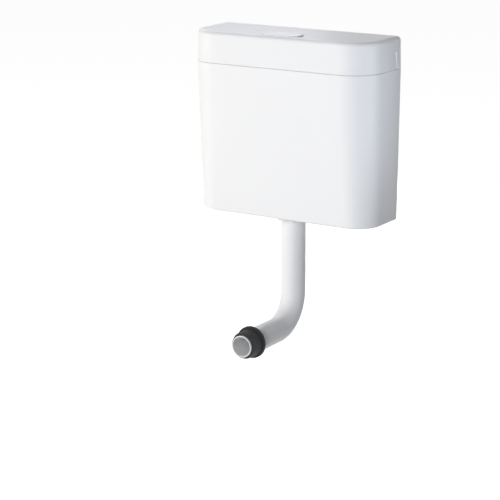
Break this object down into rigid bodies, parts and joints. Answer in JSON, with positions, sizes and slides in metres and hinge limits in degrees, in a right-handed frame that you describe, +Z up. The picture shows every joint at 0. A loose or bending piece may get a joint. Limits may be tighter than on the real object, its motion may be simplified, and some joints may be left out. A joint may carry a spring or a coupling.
{
  "type": "toilet cistern",
  "caption": "Wall-hung plastic toilet cistern with lift-off lid, top push button, flush valve, side-entry float fill valve and flush bend.",
  "frame": {"origin": "on the wall plane, midway between the two wall slots", "axes": "+X to the right seen from the front, +Y into the wall, +Z up"},
  "size_m": [0.4375, 0.2625, 0.636],
  "materials": {
    "shell_plastic": "gloss white",
    "foam": "beaded foam",
    "grey_plastic": "satin grey",
    "pale_plastic": "satin pale",
    "blue_plastic": "satin blue",
    "acetal": "satin ivory",
    "pipe_plastic": "half gloss",
    "rubber": "matt black",
    "steel": "bright",
    "plated_brass": "nickel plated"
  },
  "bodies": {
    "cistern": {"tank": "shell_plastic", "tank_liner": "foam", "valve_seat": "pale_plastic", "seat_gasket": "rubber", "seat_nut": "pale_plastic", "valve_housing": "pale_plastic", "lever_bracket": "grey_plastic", "bracket_screws": "steel", "lift_lever_pin": "steel", "fill_valve_body": "acetal", "inlet_gasket": "rubber", "inlet_nut": "plated_brass", "inlet_strainer": "blue_plastic", "diaphragm": "rubber", "valve_cap": "blue_plastic", "closing_lever_pin": "steel", "float_stop": "blue_plastic", "flush_bend": "pipe_plastic", "flush_nut": "pipe_plastic", "flush_seal": "rubber", "pan_connector": "rubber"},
    "lid": {"lid": "shell_plastic", "button_frame": "grey_plastic", "frame_screws": "steel", "button_springs": "steel"},
    "button": {"push_button": "shell_plastic"},
    "lift_lever": {"lift_lever": "blue_plastic"},
    "flush_bell": {"overflow_tube": "pale_plastic", "bell_seal": "rubber", "bell_float": "pale_plastic", "lift_rod": "grey_plastic"},
    "fill_float": {"fill_float": "foam", "float_rod": "acetal", "rod_nuts": "blue_plastic"},
    "closing_lever": {"closing_lever": "blue_plastic"},
    "closing_pin": {"closing_pin": "acetal"}
  },
  "joints": [
    {"name": "lid_lift", "type": "slide", "parent": "cistern", "child": "lid", "axis": [0, 0, 1], "range_m": [0, 0.15]},
    {"name": "button_press", "type": "slide", "parent": "lid", "child": "button", "axis": [0, 0, -1], "range_m": [0, 0.007], "stiffness_N_per_m": 250, "springref_m": -0.006, "deforming": ["button_springs"]},
    {"name": "lever_tilt", "type": "hinge", "parent": "cistern", "child": "lift_lever", "pos_m": [0, -0.098, 0.045], "axis": [1, 0, 0], "range_deg": [0, 20.1]},
    {"name": "valve_lift", "type": "slide", "parent": "cistern", "child": "flush_bell", "axis": [0, 0, 1], "range_m": [0, 0.01255]},
    {"name": "float_rise", "type": "slide", "parent": "cistern", "child": "fill_float", "axis": [0, 0, 1], "range_m": [0, 0.01]},
    {"name": "closing_tilt", "type": "hinge", "parent": "cistern", "child": "closing_lever", "pos_m": [-0.138, -0.049, 0.04865], "axis": [0, -1, 0], "range_deg": [0, 12]},
    {"name": "pin_push", "type": "slide", "parent": "cistern", "child": "closing_pin", "axis": [0, 0, -1], "range_m": [0, 0.00255]}
  ],
  "couplings": [
    {"joint": "lever_tilt", "follows": "button_press", "rad_per_m": 50},
    {"joint": "valve_lift", "follows": "button_press", "ratio": 1.79},
    {"joint": "closing_tilt", "follows": "float_rise", "rad_per_m": 20.83},
    {"joint": "pin_push", "follows": "float_rise", "ratio": 0.25}
  ]
}
